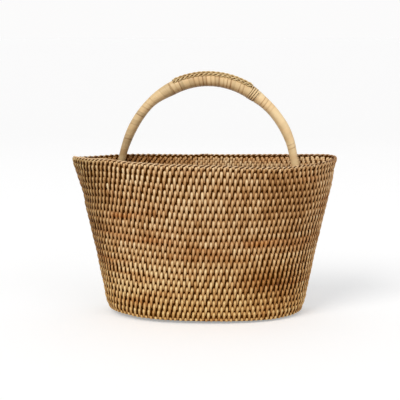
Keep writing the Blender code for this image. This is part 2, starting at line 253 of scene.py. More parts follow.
# How far each leg is bent to the side, as pairs of height and shift
LEFT_SWAY = (
    (150 * MM, 0),
    (185 * MM, 0.4 * MM),
    (205 * MM, 0.4 * MM),
    (250 * MM, -0.6 * MM),
    (276 * MM, 0),
)
RIGHT_SWAY = (
    (150 * MM, 0),
    (185 * MM, -1.2 * MM),
    (205 * MM, 0.4 * MM),
    (222 * MM, 0.8 * MM),
    (245 * MM, 0),
)

# The pole inside the wrapping. The wave of its tone has a size and a change of phase for each metre
POLE_RADIUS_AT_GRIP = 6.2 * MM
POLE_RADIUS_AT_SHOULDER = 5.5 * MM
POLE_RADIUS_AT_LEG = 4.1 * MM
LEG_TAPER_START = 85 * MM
LEG_TAPER_LENGTH = 48 * MM
POLE_SAMPLES = 400
POLE_SIDES = 18
POLE_TIP_RADIUS = 0.02 * MM
POLE_TIP_DROP = 0.05 * MM
POLE_TONE = 0.5
POLE_TONE_WAVE = (0.1, 90)

# Wrapping over the pole: how far it stands over it, and how far from the grip's ends that changes
LEG_BARE_LENGTH = 75 * MM
WRAP_OVER_LEFT_LEG = 0.25 * MM
WRAP_OVER_GRIP = 1.95 * MM
WRAP_OVER_RIGHT_LEG = 0.7 * MM
WRAP_SWELL_LENGTH = 32 * MM
WRAP_END_REACH = 8 * MM

# Tones of the wrapping: low on the left leg, before the grip, at its start, near its end, past it, and
# at the right foot
CANE_TONES = (0.0, 0.62, 0.34, 0.42, 1.0, 0.9)
CANE_TONE_START = 115 * MM
CANE_TONE_BEFORE_GRIP = 25 * MM
CANE_TONE_END_REACH = 10 * MM
CANE_TONE_SPREAD = 0.09
# Painted shade where the wrapping faces down: how dark, and from what downward slope
UNDERSIDE_SHADE = 0.68
UNDERSIDE_START = 0.1

# Across a closely wound strip: its first edge lies tucked under the strip before it
LEDGE_PLACES = (0.0, 0.1, 0.25, 0.7, 0.93, 1.0)
LEDGE_HEIGHTS = np.array([-0.34, -0.12, 0.0, 0.1, 0.08, 0.0]) * MM
SHEATH_STEP = 0.25 * MM
SHEATH_SIDES = 44

# Where the seams between turns stand open and how far: millimetres from the middle of the handle
SEAMS = (
    (-128, 1.0), (-112, 0.8), (-97, 1.0), (-84, 0.7), (-76, 0.6), (-44, 0.7), (-35, 1.0), (-18, 0.8),
    (-8, 0.9), (-3, 1.0), (6, 0.8), (13, 1.0), (22, 0.8), (28, 1.0), (42, 0.9),
    (72, 0.7), (78, 0.6), (85, 0.4), (139, 0.8),
)
SEAM_REACH = 3.4 * MM
# Painted shade in an open seam: the width of its line and how dark it is
SEAM_LINE = 0.8 * MM
SEAM_SHADE = 0.95
LEAST_EDGE = 0.3
OPEN_TURN_WIDTH = 4.3 * MM
CLOSED_TURN_WIDTH = 7.5 * MM
TURN_WIDTH_RANGE = (0.9, 1.1)

# Lacing: two cords of two plies with opposite twist, along the outer front of the grip
LACE_FROM_GRIP_START = 5 * MM
LACE_FROM_GRIP_END = 11 * MM
LACE_PITCH = 5.3 * MM
LACE_ANGLES = (0.1, 0.76)
LACE_SWING = 0.18
LACE_SAMPLES = 16
LACE_SIDES = 7
LACE_TAPER = 3 * MM
LACE_TIP_SHARE = 0.25
LACE_RADIUS = 0.82 * MM
LACE_LIFT = 0.8 * MM
LACE_LIFT_SWING = 0.55 * MM
LACE_TONE = 0.52
# Painted light where a ply comes up and painted shade where it dives under, as a swing of its tone
LACE_SHADE_SWING = 0.38
LACE_TONE_WAVE = (0.1, 900)
# A near black core under each cord, painted shade between its plies
LACE_CORE_RADIUS = 1.15 * MM
LACE_CORE_LIFT = 0.1 * MM
LACE_CORE_TONE = 0.5

# Binding at the right end of the grip, in cane over a dark layer. Each layer has its height over the
# wrapping, its crown, and its width as a share of the pitch
END_TURNS_START = 11.5 * MM
END_TURNS_END = 2.5 * MM
END_TURNS = 3
END_TURN_SAMPLES = 30
END_TURN_BACK = 0.3 * MM
END_TURN_PHASE = 0.8
END_TURN_TONE = 0.5
END_CANE = (0.1 * MM, 0.35 * MM, 0.64)
# The dark layer is painted shade in the gaps between the turns
END_SHADE_LAYER = (0.04 * MM, 0.05 * MM, 1.02)

# Ties that hold the legs
TIE_NUMBERS = (1, 2, 3)
TIE_BEVEL = 0.4 * MM
TIE_BEVEL_SEGMENTS = 2

# Tints that cane is multiplied with: painted shade at the edges of a strip and deep between strips, the
# redder stretches, low on the wall, and painted shade at its left end. The last two have a start and a
# growth for each metre
EDGE_SHADE_TINT = (0.45, 0.24, 0.05)
DEEP_SHADE_TINT = (0.36, 0.17, 0.02)
RUST_TINT = (0.68, 0.47, 0.26)
LOW_TINT = (1.0, 0.97, 0.76)
LOW_TINT_START = 100 * MM
LOW_TINT_GROWTH = 11.0
LEFT_SHADE_TINT = (0.83, 0.94, 0.94)
LEFT_SHADE_START = -104 * MM
LEFT_SHADE_GROWTH = 25.0

# Patches and fibres of cane. A noise has its scales along three axes, its detail and its roughness
BROAD_NOISE = ((9, 9, 34), 3.0, 0.55)
BROAD_AMOUNT = 0.7
FIBRE_RATE = 60.0
FIBRE_NOISE = ((1, 4.5, 40), 3.0, 0.6)
PATCH_NOISE = ((12, 12, 60), 2.0, 0.5)
PATCH_START = 0.52
ROUGHNESS_RANGE = 0.2
COAT_ROUGHNESS = 0.35
BUMP_STRENGTH = 0.5

# Floor. Its glow makes it pale where it is seen, and falls between two places along Y
FLOOR_HALF = 40.0
FLOOR_Z = -3 * MM
FLOOR_COLOUR = (0.80, 0.80, 0.81)
FLOOR_ROUGHNESS = 0.9
FLOOR_SHINE = 0.1
FLOOR_GLOW_COLOUR = (0.98, 1, 1)
FLOOR_GLOWS = (0.325, 0.25)
FLOOR_GLOW_PLACES = (0.2, 2.2)

# Lights: the place that each shines from, its strength, spread and colour, and the world's light
KEY_LIGHT = ((-1.1, -1.5, 1.5), 1.45, 0.55, (1.0, 0.98, 0.94))
FILL_LIGHT = ((1.5, -1.6, 0.7), 0.6, 0.9, (0.97, 0.98, 1.0))
WORLD_COLOUR = (0.970, 0.965, 0.965)
WORLD_LIGHT = 0.55

# Camera: turned to the left, tilted down and rolled by small angles
CAMERA_PLACE = (0.040, -1.2406, 0.3387)
CAMERA_SENSOR = 36
CAMERA_LENS = 95.8
CAMERA_TURN = math.radians(2.07)
CAMERA_TILT = math.radians(9.1)
CAMERA_ROLL = math.radians(0.162)


# Meshes


def new_object(name, verts, faces, materials, attributes=None, face_materials=None):
    """A smooth mesh object from arrays, with named number attributes on its points."""
    mesh = bpy.data.meshes.new(name)
    verts = np.asarray(verts, np.float32)
    faces = np.asarray(faces, np.int32)
    mesh.vertices.add(len(verts))
    mesh.vertices.foreach_set("co", verts.ravel())
    mesh.loops.add(faces.size)
    mesh.loops.foreach_set("vertex_index", faces.ravel())
    mesh.polygons.add(len(faces))
    mesh.polygons.foreach_set("loop_start", np.arange(len(faces), dtype=np.int32) * faces.shape[1])
    mesh.polygons.foreach_set("use_smooth", np.ones(len(faces), bool))
    for material in materials:
        mesh.materials.append(material)
    if face_materials is not None:
        mesh.polygons.foreach_set("material_index", np.asarray(face_materials, np.int32))
    for key, values in (attributes or {}).items():
        layer = mesh.attributes.new(key, "FLOAT", "POINT")
        layer.data.foreach_set("value", np.asarray(values, np.float32))
    mesh.update()
    mesh.validate()
    piece = bpy.data.objects.new(name, mesh)
    bpy.context.scene.collection.objects.link(piece)
    return piece


def dress(name, parts, materials, node):
    """One piece in the place of a node. A part is a number in materials and (points, quads, values)."""
    verts = []
    faces = []
    kinds = []
    attributes = {}
    start = 0
    for kind, (points, quads, values) in parts:
        verts.append(points)
        faces.append(quads + start)
        kinds.append(np.full(len(quads), kind))
        start += len(points)
        for key, value in values.items():
            attributes.setdefault(key, []).append(value)
    attributes = {key: np.concatenate(value) for key, value in attributes.items()}
    verts = np.concatenate(verts)
    faces = np.concatenate(faces)
    piece = new_object(name, verts, faces, materials, attributes, np.concatenate(kinds))
    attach(piece, "root")
    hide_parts(node)


def unit(vectors):
    return vectors / np.maximum(np.linalg.norm(vectors, axis=-1, keepdims=True), 1e-9)


def eased_share(distance, reach):
    part = np.clip(distance / reach, 0, 1)
    return part * part * (3 - 2 * part)


def hump(value, height, middle, reach):
    return height * np.exp(-(((value - middle) / reach) ** 2))


def humps(value, table):
    return sum(hump(value, *row) for row in table)


def wave(value, size, count, phase=0):
    return size * np.sin(count * value + phase)


def run_length(points):
    """Length from the first point to each point of a line."""
    return np.concatenate([[0], np.cumsum(np.linalg.norm(np.diff(points, axis=0), axis=1))])


def spread(values, shape):
    """Values of the first axes of a shape, repeated along the last one."""
    return np.broadcast_to(values[..., None], shape).ravel()


def quads_between(here, after):
    """Quads that join closed loops of points to the loops after them."""
    return np.stack([here, np.roll(here, -1, -1), np.roll(after, -1, -1), after], -1).reshape(-1, 4)


def strips(centres, normals, half_widths, crown, back, tone):
    """Strips of cane with a round top, left open at both ends.

    Centres and normals are (strips, steps, 3), and half widths and tones are (strips, steps).
    """
    count, steps, _ = centres.shape
    forward = unit(np.gradient(centres, axis=1))
    side = unit(np.cross(normals, forward))
    up = unit(np.cross(forward, side))
    rises = np.concatenate([crown * STRIP_RISES, [-back, -back]])
    points = centres[:, :, None] + side[:, :, None] * (half_widths[:, :, None] * STRIP_PLACES)[..., None]
    points = points + up[:, :, None] * rises[:, None]
    shape = (count, steps, len(STRIP_PLACES))
    index = np.arange(math.prod(shape)).reshape(shape)
    lengths = np.linalg.norm(np.diff(centres, axis=1), axis=2)
    along = np.concatenate([np.zeros((count, 1)), np.cumsum(lengths, 1)], 1)
    values = {
        "tone": spread(tone, shape),
        "along": spread(along + np.arange(count)[:, None] * STRIP_GRAIN_SHIFT, shape),
        "across": np.broadcast_to(STRIP_PLACES, shape).ravel(),
    }
    return points.reshape(-1, 3), quads_between(index[:, :-1], index[:, 1:]), values


def tube(centres, radii, tone, sides, closed):
    """A round tube along points. A closed one joins up, and the ends of another stay open."""
    count = len(centres)
    if closed:
        forward = unit(np.roll(centres, -1, 0) - np.roll(centres, 1, 0))
    else:
        forward = unit(np.gradient(centres, axis=0))
    upright = abs(forward[:, 2]).max() > UPRIGHT_LIMIT
    side = unit(np.cross(forward, [0.0, 1.0, 0.0] if upright else [0.0, 0.0, 1.0]))
    up = np.cross(side, forward)
    angles = np.arange(sides) * FULL_TURN / sides
    out = side[:, None] * np.cos(angles)[:, None] + up[:, None] * np.sin(angles)[:, None]
    points = centres[:, None] + out * radii[:, None, None]
    shape = (count, sides)
    index = np.arange(count * sides).reshape(shape)
    here = index if closed else index[:-1]
    after = np.roll(index, -1, 0) if closed else index[1:]
    values = {
        "tone": spread(np.broadcast_to(tone, count), shape),
        "along": spread(run_length(centres), shape),
        "across": np.broadcast_to(np.cos(angles), shape).ravel(),
    }
    return points.reshape(-1, 3), quads_between(here, after), values


# Lines that the coils follow


wall_boxes = [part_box(node) for node in ["base_edge_coil", *WALL_NODES, "rim_binding"]]
wall_z = np.array([(low.z + high.z) / 2 for low, high in wall_boxes])
wall_half_width = np.array([high.x for _, high in wall_boxes])
wall_front = np.array([low.y for low, _ in wall_boxes])
wall_back = max(high.y for _, high in wall_boxes)


def d_outline(half_width, front, back, roundness, corner):
    """Evenly spaced points of a D outline, from the middle of its front towards +X."""
    corner = min(corner, (back - front) * CORNER_LIMIT_SHARE)
    widest = back - corner
    angles = np.linspace(0, math.pi / 2, FRONT_SAMPLES)
    power = 2 / roundness
    x = half_width * np.sin(angles) ** power
    y = widest - (widest - front) * np.cos(angles) ** power
    bend = np.linspace(0, math.pi / 2, CORNER_SAMPLES)[1:]
    x = np.concatenate([x, half_width - corner * (1 - np.cos(bend)), [0]])
    y = np.concatenate([y, widest + corner * np.sin(bend), [back]])
    x = np.concatenate([x, -x[-2::-1]])
    y = np.concatenate([y, y[-2::-1]])
    lengths = np.concatenate([[0], np.cumsum(np.hypot(np.diff(x), np.diff(y)))])
    at = np.arange(RING_SAMPLES) / RING_SAMPLES * lengths[-1]
    return np.stack([np.interp(at, lengths, x), np.interp(at, lengths, y)], 1), lengths[-1]


def wall_ring(z, inset):
    """The wall's outline at a height, drawn in by the inset, and its length."""
    half_width = np.interp(z, wall_z, wall_half_width) - inset
    front = np.interp(z, wall_z, wall_front) + inset
    rise = max(z / WALL_TOP, 0)
    roundness = BASE_ROUNDNESS + (RIM_ROUNDNESS - BASE_ROUNDNESS) * rise
    return d_outline(half_width, front, wall_back - inset, roundness, BACK_CORNER_RADIUS - inset)


def chain_rings():
    """For each coil of the chain: its outer line, its inner line, and its length round."""
    outer = []
    inner = []
    lengths = []

    def add(outline, outer_z, length, inner_outline, inner_z):
        outer.append(np.column_stack([outline, np.full(RING_SAMPLES, outer_z)]))
        inner.append(np.column_stack([inner_outline, np.full(RING_SAMPLES, inner_z)]))
        lengths.append(length)

    for index, node in enumerate(BASE_NODES[:-1]):
        low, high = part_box(node)
        inset = COIL_THICKNESS / 2 + (CENTRE_SIDE_STEP if index == 0 else 0)
        half_width = high.x - COIL_THICKNESS / 2 - (CENTRE_END_STEP if index == 0 else 0)
        corner = max(BACK_CORNER_RADIUS - (EDGE - index) * COIL_THICKNESS - inset, LEAST_CORNER_RADIUS)
        flat, length = d_outline(half_width, low.y + inset, high.y - inset, BASE_ROUNDNESS, corner)
        add(flat, low.z, length, flat, high.z)

    # The edge coil's first row turns the corner, so its two lines lie on a slant of 45 degrees
    slant = math.sqrt(0.5)
    middle = wall_z[0]
    flat, length = wall_ring(middle, COIL_THICKNESS / 2 * (1 - slant))
    inner_flat, _ = wall_ring(middle, COIL_THICKNESS / 2 * (1 + slant))
    rise = slant * COIL_HEIGHT / 2
    add(flat, middle - rise, length, inner_flat, middle + rise)

    rows = [(EDGE_UPPER_Z, COIL_THICKNESS)]
    for z in wall_z[1:-1]:
        raised = hump(z, FOOT_RAISE, 0, FOOT_RAISE_REACH) - hump(z, WAIST_DROP, WAIST_Z, WAIST_REACH)
        rows.append((z + raised, COIL_THICKNESS))
    rows += [(RIM_COIL_Z, RIM_COIL_THICKNESS), (RIM_STUB_Z, RIM_STUB_THICKNESS)]
    for z, thickness in rows:
        flat, length = wall_ring(z, 0)
        inner_flat, _ = wall_ring(z, thickness)
        add(flat, z, length, inner_flat, z)
    return np.array(outer), np.array(inner), np.array(lengths)


def normals_of(lines, sign):
    along = np.roll(lines, -1, 1) - np.roll(lines, 1, 1)
    up = np.gradient(lines, axis=0)
    return unit(np.cross(along, up)) * sign


outer_line, inner_line, ring_lengths = chain_rings()
outer_normal = normals_of(outer_line, 1)
inner_normal = normals_of(inner_line, -1)
outer_normal[:EDGE] = (0, 0, -1)
inner_normal[:EDGE] = (0, 0, 1)


def read(table, fraction, place):
    """The table's value at a fraction of the ring and a place along the chain, between its samples."""
    place = np.clip(place, 0, len(table) - 1)
    row = np.minimum(place.astype(int), len(table) - 2)
    part_row = (place - row)[..., None]
    column = (fraction % 1) * RING_SAMPLES
    left = column.astype(int) % RING_SAMPLES
    right = (left + 1) % RING_SAMPLES
    part_column = (column - np.floor(column))[..., None]
    low = table[row, left] * (1 - part_column) + table[row, right] * part_column
    high = table[row + 1, left] * (1 - part_column) + table[row + 1, right] * part_column
    return low * (1 - part_row) + high * part_row


def settle(points):
    """The handmade unevenness of the whole body: small, smooth, and the same for every piece."""
    x = points[..., 0]
    y = points[..., 1]
    z = points[..., 2]
    rise = np.clip(z / WALL_TOP, 0, RISE_LIMIT)
    front = np.clip((wall_back - y) / FRONT_REACH, 0, 1) ** 2
    between = eased_share(z - BETWEEN_START, BETWEEN_START_REACH)
    between = between * eased_share(BETWEEN_END - z, BETWEEN_END_REACH)
    foot = np.clip(1 - z / FOOT_HEIGHT, 0, 1) ** 2
    around = np.arctan2(y - wall_back, x)

    def waves(table):
        return sum(wave(around, size, count, climb * z + phase) for size, count, climb, phase in table)

    lift = rise * waves(LIFT_WAVES)
    lift += rise**2 * (front * humps(x, CREST_HUMPS) + (1 - front) * humps(x, BACK_CREST_HUMPS))
    lift += front * (between * humps(x, BETWEEN_HUMPS) + foot * humps(x, FOOT_HUMPS))
    out = front * (rise * waves(OUT_WAVES_HIGH) + waves(OUT_WAVES))
    left = np.clip(-x / END_DISTANCE, 0, 1) ** 2
    right = np.clip(x / END_DISTANCE, 0, 1) ** 2
    flare = np.clip((rise - LEFT_FLARE_START) / LEFT_FLARE_REACH, 0, 1) ** 2
    sideways = left * (hump(rise, *LEFT_TUCK) - LEFT_FLARE * flare) - right * hump(rise, *RIGHT_TUCK)
    moved = points.copy()
    moved[..., 0] += out * np.cos(around) + sideways
    moved[..., 1] += out * np.sin(around)
    moved[..., 2] += lift
    return moved


# Cores and stitches


def rope_line(fraction):
    """The middle of the rope along the rim, and the way out from it."""
    place = np.full(len(fraction), float(RIM_COIL + 1))
    outer = read(outer_line, fraction, place)
    out = unit((outer - read(inner_line, fraction, place)) * [1, 1, 0])
    reach = ROPE_PLY_RADIUS + ROPE_HELIX_RADIUS
    middle = outer - out * (ROPE_INSET + reach)
    middle[:, 2] = RIM_TOP - reach
    return middle, out


def core_ring(index):
    """The bundle inside a coil, near black as painted shade in the hollows. The last one lies inside the
    rope.
    """
    fraction = np.arange(CORE_SAMPLES) / CORE_SAMPLES
    place = np.full(CORE_SAMPLES, float(index))
    outer = read(outer_line, fraction, place)
    inner = read(inner_line, fraction, place)
    middle = (outer + inner) / 2
    out = unit(outer - inner)
    up = unit(np.cross(out, unit(np.roll(middle, -1, 0) - np.roll(middle, 1, 0))))
    below = read(outer_line, fraction, np.maximum(place - 0.5, 0))
    above = read(outer_line, fraction, place + 0.5)
    half_height = np.linalg.norm(above - below, axis=1) * CORE_HEIGHT_SHARE
    half_depth = CORE_HALF_DEPTH
    if index == 0:
        half_height[:] = COIL_HEIGHT / 2
    if index == RIM_COIL + 1:
        middle, out = rope_line(fraction)
        half_height[:] = ROPE_HELIX_RADIUS
        half_depth = ROPE_HELIX_RADIUS
    angles = np.arange(CORE_SIDES) * FULL_TURN / CORE_SIDES
    points = middle[:, None] + out[:, None] * (np.cos(angles) * half_depth)[:, None]
    points = points + up[:, None] * (np.sin(angles) * half_height[:, None])[..., None]
    shape = (CORE_SAMPLES, CORE_SIDES)
    numbers = np.arange(CORE_SAMPLES * CORE_SIDES).reshape(shape)
    quads = quads_between(numbers, np.roll(numbers, -1, 0))[:, [0, 3, 2, 1]]
    values = {
        "tone": np.full(numbers.size, CORE_TONE),
        "along": spread(fraction * ring_lengths[index], shape),
        "across": np.broadcast_to(np.sin(angles), shape).ravel(),
        "shade": np.zeros(numbers.size),
        "rust": np.zeros(numbers.size),
    }
    return settle(points).reshape(-1, 3), quads, values


def row_count(index):
    rise = np.clip((index - EDGE) / (RIM_COIL - EDGE), 0, 1)
    high = np.clip((rise - STITCH_GAIN_TOP_START) / (1 - STITCH_GAIN_TOP_START), 0, 1)
    pitch = STITCH_PITCH + STITCH_PITCH_GAIN_TOP * high**1.5
    pitch += hump(rise, STITCH_PITCH_GAIN_LOW, STITCH_GAIN_LOW_MIDDLE, STITCH_GAIN_LOW_REACH)
    return int(round(ring_lengths[index] / pitch))


def spots(points, table):
    """How strong the spots of a table are at points of the wall, all together."""
    total = np.zeros(points.shape[:-1])
    for (x, z), (wide, high), amount in table:
        total += amount * np.exp(-(((points[..., 0] - x) / wide) ** 2) - ((points[..., 2] - z) / high) ** 2)
    return total


def stitch_row(index, outside, lowered=0.0):
    """The stitches of one row: each comes out above coil index, less the lowered share of a coil.

    Outside it goes in below the coil before that, and inside below the coil itself.
    """
    form = OUTER_STITCH if outside else INNER_STITCH
    lines = outer_line if outside else inner_line
    normals = outer_normal if outside else inner_normal
    count = row_count(index)
    length = ring_lengths[index]
    order = np.arange(count) + 0.5 * (index % 2) + lowered + rng.normal(0, PLACE_SPREAD, count)
    start = WEAVE_CENTRE / length + order / count

    # A stitch stands upright where the lines below and above it drift to one side, apart from its lean
    whole = np.full(count, 1.0)
    rise = read(lines, start, whole * (index + 0.5)) - read(lines, start, whole * (index - 1.5))
    ahead = read(lines, start + NEARBY, whole * index) - read(lines, start - NEARBY, whole * index)
    drift = (rise * unit(ahead)).sum(-1) / np.maximum(np.linalg.norm(rise, axis=-1), LEAST_CLIMB)
    sideways = np.clip(read(lines, start, whole * index)[..., 0] / SIDE_DISTANCE, -1, 1)
    lean = form.lean + form.more_lean_left * np.maximum(-sideways, 0)
    lean = lean + rng.normal(0, LEAN_SPREAD, count) - np.arcsin(np.clip(drift, -DRIFT_LIMIT, DRIFT_LIMIT))
    limit = form.lean_limit if index > EDGE else BASE_LEAN_LIMIT
    lean = np.clip(lean, -limit, limit)

    place = index + 0.5 - lowered - form.span * form.steps + np.zeros((count, 1))
    drop = form.span * COIL_HEIGHT / length
    fraction = start[:, None] + np.tan(lean)[:, None] * drop * (0.5 - form.steps)
    bend = rng.normal(0, BEND_SPREAD, count)[:, None] * np.sin(math.pi * form.steps)
    fraction = fraction + bend / count
    depth = form.depths + STITCH_SINK + rng.normal(0, DEPTH_SPREAD, count)[:, None]
    normal = read(normals, fraction, place)
    centre = read(lines, fraction, place) - normal * depth[..., None]
    half_width = form.half_width * (1 + rng.normal(0, WIDTH_SPREAD, count))[:, None] * form.widths
    # Inside, painted shade towards the left and painted light towards the right
    tone = form.tone + form.light_gain_right * sideways
    rust = np.zeros(place.shape)
    if outside:
        # Partly painted shade, darker towards both ends, and partly the cane's own tone
        tone = tone + spots(centre[:, form.depths.argmin()], TONE_AND_SHADE_SPOTS)
        rust = spots(centre, RUST_SPOTS) * (centre[..., 1] < 0)
    tone = np.clip(tone + rng.normal(0, TONE_SPREAD, count), 0, 1)
    # Painted highlight on the upper part of each stitch
    tone = tone[:, None] + hump(form.steps, form.top_highlight, TOP_HIGHLIGHT_MIDDLE, TOP_HIGHLIGHT_REACH)
    points, quads, values = strips(settle(centre), unit(normal), half_width, STITCH_CROWN, STITCH_BACK, tone)
    shape = (*place.shape, len(STRIP_PLACES))
    # Painted shade towards both ends of each stitch, where it dives between the coils
    values["shade"] = spread(form.shades + np.zeros(place.shape), shape)
    values["rust"] = spread(rust, shape)
    return points, quads, values


def rim_rope():
    """The plies of the rope along the crest of the rim, which wind so that they climb to the right."""
    turns = row_count(RIM_COIL) // ROPE_PLIES
    samples = turns * ROPE_PLIES * ROPE_SAMPLES
    fraction = np.arange(samples) / samples + WEAVE_CENTRE / ring_lengths[RIM_COIL]
    around = fraction * FULL_TURN
    middle, out = rope_line(fraction)
    plies = []
    for ply in range(ROPE_PLIES):
        angle = FULL_TURN * (ply / ROPE_PLIES - turns * np.arange(samples) / samples)
        angle = angle + wave(around, *ROPE_ANGLE_WAVE)
        centre = middle + out * (np.sin(angle) * ROPE_HELIX_RADIUS)[:, None]
        centre[:, 2] += np.cos(angle) * ROPE_HELIX_RADIUS
        radius = ROPE_PLY_RADIUS * (1 + wave(around, *ROPE_SWELL_WAVE, ply))
        tone = ROPE_TONE + wave(around, *ROPE_TONE_WAVE, 2 * ply)
        # Painted shade towards the right end of the rim
        tone -= ROPE_SHADE_RIGHT * eased_share(middle[:, 0] - ROPE_SHADE_START, ROPE_SHADE_REACH)
        points, quads, values = tube(settle(centre), radius, tone, ROPE_SIDES, closed=True)
        values["shade"] = np.zeros(len(points))
        values["rust"] = np.zeros(len(points))
        plies.append((points, quads, values))
    return plies


# Materials


def node_material(name):
    material = bpy.data.materials.new(name)
    material.use_nodes = True
    nodes = material.node_tree.nodes
    return material, nodes, material.node_tree.links, nodes["Principled BSDF"]


def attribute(nodes, name):
    node = nodes.new("ShaderNodeAttribute")
    node.attribute_name = name
    return node.outputs["Fac"]


def fill(links, socket, value):
    """Sets a socket to a number or a colour, or links it to another node's output."""
    if isinstance(value, tuple):
        socket.default_value = (*value, 1)
    elif isinstance(value, (int, float)):
        socket.default_value = value
    else:
        links.new(value, socket)


def maths(nodes, links, operation, *values):
    node = nodes.new("ShaderNodeMath")
    node.operation = operation
    for socket, value in zip(node.inputs, values):
        fill(links, socket, value)
    return node.outputs[0]


def noise(nodes, links, vector, scales, detail, roughness):
    mapping = nodes.new("ShaderNodeMapping")
    mapping.inputs["Scale"].default_value = scales
    links.new(vector, mapping.inputs["Vector"])
    node = nodes.new("ShaderNodeTexNoise")
    node.inputs["Scale"].default_value = 1.0
    node.inputs["Detail"].default_value = detail
    node.inputs["Roughness"].default_value = roughness
    links.new(mapping.outputs["Vector"], node.inputs["Vector"])
    return node.outputs["Fac"]


def ramp(nodes, links, factor, stops):
    node = nodes.new("ShaderNodeValToRGB")
    while len(node.color_ramp.elements) < len(stops):
        node.color_ramp.elements.new(0.5)
    for element, (place, colour) in zip(node.color_ramp.elements, stops):
        element.position = place
        element.color = (*colour, 1)
    links.new(factor, node.inputs["Fac"])
    return node.outputs["Color"]


def tinted(nodes, links, colour, factor, tint):
    """The colour multiplied with the tint, as far as the factor says."""
    node = nodes.new("ShaderNodeMix")
    node.data_type = "RGBA"
    node.blend_type = "MULTIPLY"
    fill(links, node.inputs[0], factor)
    fill(links, node.inputs[6], colour)
    fill(links, node.inputs[7], tint)
    return node.outputs[2]


def cane_material(
    name,
    stops,
    patch_tint,
    patch_amount,
    fibre,
    roughness,
    coat,
    bump_depth,
    edge_shade=0.35,
    edge_power=4.0,
    deep_shade=0.0,
    shine=0.35,
):
    """Split cane: a tone for each strip, fibres along it, painted shade towards its edges, and broad patches
    of colour.
    """
    material, nodes, links, shader = node_material(name)
    tone = attribute(nodes, "tone")
    along = attribute(nodes, "along")
    across = attribute(nodes, "across")
    place = nodes.new("ShaderNodeTexCoord").outputs["Object"]
    broad = noise(nodes, links, place, *BROAD_NOISE)
    along = maths(nodes, links, "MULTIPLY", along, FIBRE_RATE)
    fibre_place = nodes.new("ShaderNodeCombineXYZ")
    for socket, value in zip(fibre_place.inputs, (along, across, tone)):
        links.new(value, socket)
    streak = noise(nodes, links, fibre_place.outputs[0], *FIBRE_NOISE)
    level = maths(nodes, links, "MULTIPLY_ADD", streak, fibre, tone)
    level = maths(nodes, links, "ADD", level, -fibre / 2)
    level = maths(nodes, links, "MULTIPLY_ADD", broad, BROAD_AMOUNT, level)
    level = maths(nodes, links, "ADD", level, -BROAD_AMOUNT / 2)
    colour = ramp(nodes, links, level, stops)
    # Painted shade towards both edges of a strip
    edge = maths(nodes, links, "POWER", maths(nodes, links, "ABSOLUTE", across), edge_power)
    colour = tinted(nodes, links, colour, maths(nodes, links, "MULTIPLY", edge, edge_shade), EDGE_SHADE_TINT)
    # Painted shade deep between parts, as far as the shade attribute says
    if deep_shade:
        shade = maths(nodes, links, "MULTIPLY", attribute(nodes, "shade"), deep_shade)
        colour = tinted(nodes, links, colour, shade, DEEP_SHADE_TINT)
        colour = tinted(nodes, links, colour, attribute(nodes, "rust"), RUST_TINT)
        # Yellower low on the wall, and painted shade at the left end
        axes = nodes.new("ShaderNodeSeparateXYZ")
        links.new(place, axes.inputs[0])
        for axis, start, growth, tint in (
            ("Z", LOW_TINT_START, LOW_TINT_GROWTH, LOW_TINT),
            ("X", LEFT_SHADE_START, LEFT_SHADE_GROWTH, LEFT_SHADE_TINT),
        ):
            past = maths(nodes, links, "MULTIPLY_ADD", axes.outputs[axis], -growth, growth * start)
            colour = tinted(nodes, links, colour, past, tint)
    patch = maths(nodes, links, "SUBTRACT", noise(nodes, links, place, *PATCH_NOISE), PATCH_START)
    patch = maths(nodes, links, "MULTIPLY", patch, patch_amount)
    clamped = nodes.new("ShaderNodeClamp")
    links.new(patch, clamped.inputs[0])
    colour = tinted(nodes, links, colour, clamped.outputs[0], patch_tint)
    links.new(colour, shader.inputs["Base Color"])
    rough = maths(nodes, links, "MULTIPLY_ADD", streak, ROUGHNESS_RANGE, roughness - ROUGHNESS_RANGE / 2)
    links.new(rough, shader.inputs["Roughness"])
    shader.inputs["Specular IOR Level"].default_value = shine
    shader.inputs["Coat Weight"].default_value = coat
    shader.inputs["Coat Roughness"].default_value = COAT_ROUGHNESS
    bump = nodes.new("ShaderNodeBump")
    bump.inputs["Strength"].default_value = BUMP_STRENGTH
    bump.inputs["Distance"].default_value = bump_depth
    links.new(streak, bump.inputs["Height"])
    links.new(bump.outputs["Normal"], shader.inputs["Normal"])
    return material


stitch_cane = cane_material(
    "stitch_cane",
    stops=[
        (0.0, (0.260, 0.115, 0.034)),
        (0.3, (0.480, 0.255, 0.092)),
        (0.6, (0.705, 0.440, 0.205)),
        (1.0, (0.920, 0.700, 0.415)),
    ],
    patch_tint=(0.74, 0.50, 0.30),
    patch_amount=4.0,
    fibre=0.3,
    roughness=0.5,
    coat=0.02,
    bump_depth=0.12 * MM,
    edge_shade=0.85,
    edge_power=2.5,
    deep_shade=1.0,
    shine=0.1,
)
